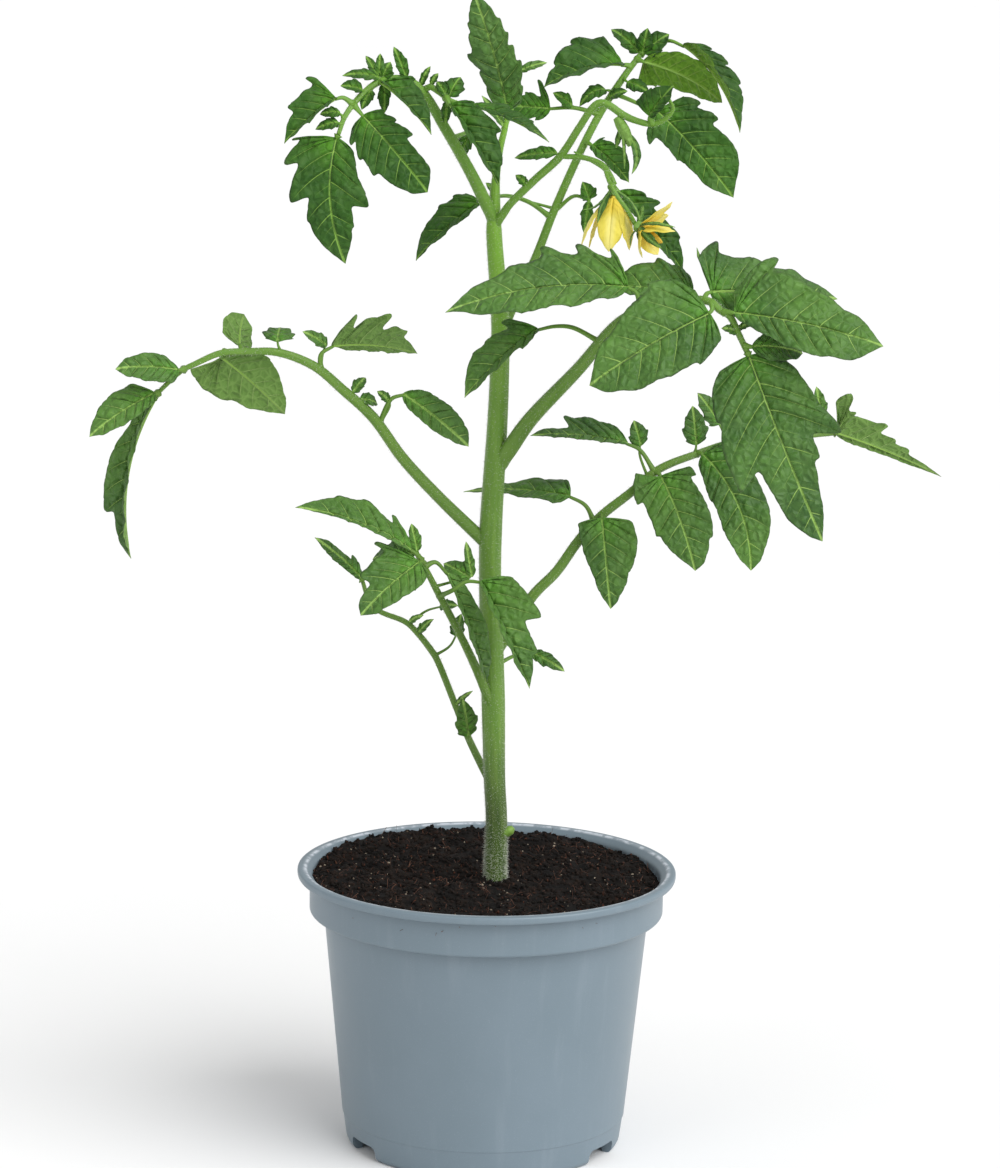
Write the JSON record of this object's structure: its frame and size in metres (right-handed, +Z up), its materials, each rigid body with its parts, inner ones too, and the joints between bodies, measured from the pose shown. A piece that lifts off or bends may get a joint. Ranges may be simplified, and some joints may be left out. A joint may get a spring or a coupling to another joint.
{
  "type": "young tomato plant in a round nursery pot",
  "caption": "Young tomato plant in a round grey nursery pot, with arching compound leaves and a truss of small yellow flowers.",
  "frame": {"origin": "the centre of the pot's standing face, on the plane that the pot stands on", "axes": "Z up along the pot's axis; -Y is the front, the side that the picture was taken from; +X is right as seen from the front"},
  "size_m": [0.3333, 0.1563, 0.4561],
  "materials": {
    "pot_plastic": "satin",
    "peat_soil": "matte",
    "stem_green": "satin",
    "stalk_green": "satin",
    "leaf_green": "satin",
    "sepal_green": "satin",
    "petal_yellow": "satin",
    "anther_yellow": "satin"
  },
  "bodies": {
    "root": {"pot": "pot_plastic", "potting_soil": "peat_soil", "main_stem": "stem_green", "top_leaflet": "leaf_green", "back_right_leaf_leaflet_1": "leaf_green", "back_right_leaf_leaflet_2": "leaf_green", "back_right_leaf_leaflet_3": "leaf_green", "back_right_leaf_leaflet_4": "leaf_green", "back_right_leaf_leaflet_5": "leaf_green", "back_right_leaf_leaflet_6": "leaf_green", "back_right_leaf_leaflet_7": "leaf_green", "back_right_leaf_stalk": "stalk_green", "flower_1_anther_cone": "anther_yellow", "flower_1_calyx": "sepal_green", "flower_1_corolla": "petal_yellow", "flower_2_anther_cone": "anther_yellow", "flower_2_calyx": "sepal_green", "flower_2_corolla": "petal_yellow", "flower_bud": "sepal_green", "flower_truss_leaflet_1": "leaf_green", "flower_truss_leaflet_2": "leaf_green", "flower_truss_stalk": "stalk_green", "front_right_leaf_leaflet_1": "leaf_green", "front_right_leaf_leaflet_2": "leaf_green", "front_right_leaf_leaflet_3": "leaf_green", "front_right_leaf_leaflet_4": "leaf_green", "front_right_leaf_leaflet_5": "leaf_green", "front_right_leaf_leaflet_6": "leaf_green", "front_right_leaf_leaflet_7": "leaf_green", "front_right_leaf_leaflet_8": "leaf_green", "front_right_leaf_stalk": "stalk_green", "left_leaf_leaflet_1": "leaf_green", "left_leaf_leaflet_2": "leaf_green", "left_leaf_leaflet_3": "leaf_green", "left_leaf_leaflet_4": "leaf_green", "left_leaf_leaflet_5": "leaf_green", "left_leaf_leaflet_6": "leaf_green", "left_leaf_leaflet_7": "leaf_green", "left_leaf_stalk": "stalk_green", "lower_left_leaf_leaflet_1": "leaf_green", "lower_left_leaf_leaflet_2": "leaf_green", "lower_left_leaf_leaflet_3": "leaf_green", "lower_left_leaf_leaflet_4": "leaf_green", "lower_left_leaf_stalk": "stalk_green", "lower_right_leaf_leaflet_1": "leaf_green", "lower_right_leaf_leaflet_2": "leaf_green", "lower_right_leaf_leaflet_3": "leaf_green", "lower_right_leaf_leaflet_4": "leaf_green", "lower_right_leaf_leaflet_5": "leaf_green", "lower_right_leaf_leaflet_6": "leaf_green", "lower_right_leaf_stalk": "stalk_green", "lowest_leaf_leaflet_1": "leaf_green", "lowest_leaf_stalk": "stalk_green", "top_left_leaf_leaflet_1": "leaf_green", "top_left_leaf_leaflet_2": "leaf_green", "top_left_leaf_leaflet_3": "leaf_green", "top_left_leaf_leaflet_4": "leaf_green", "top_left_leaf_leaflet_5": "leaf_green", "top_left_leaf_leaflet_6": "leaf_green", "top_left_leaf_stalk": "stalk_green"}
  },
  "joints": []
}
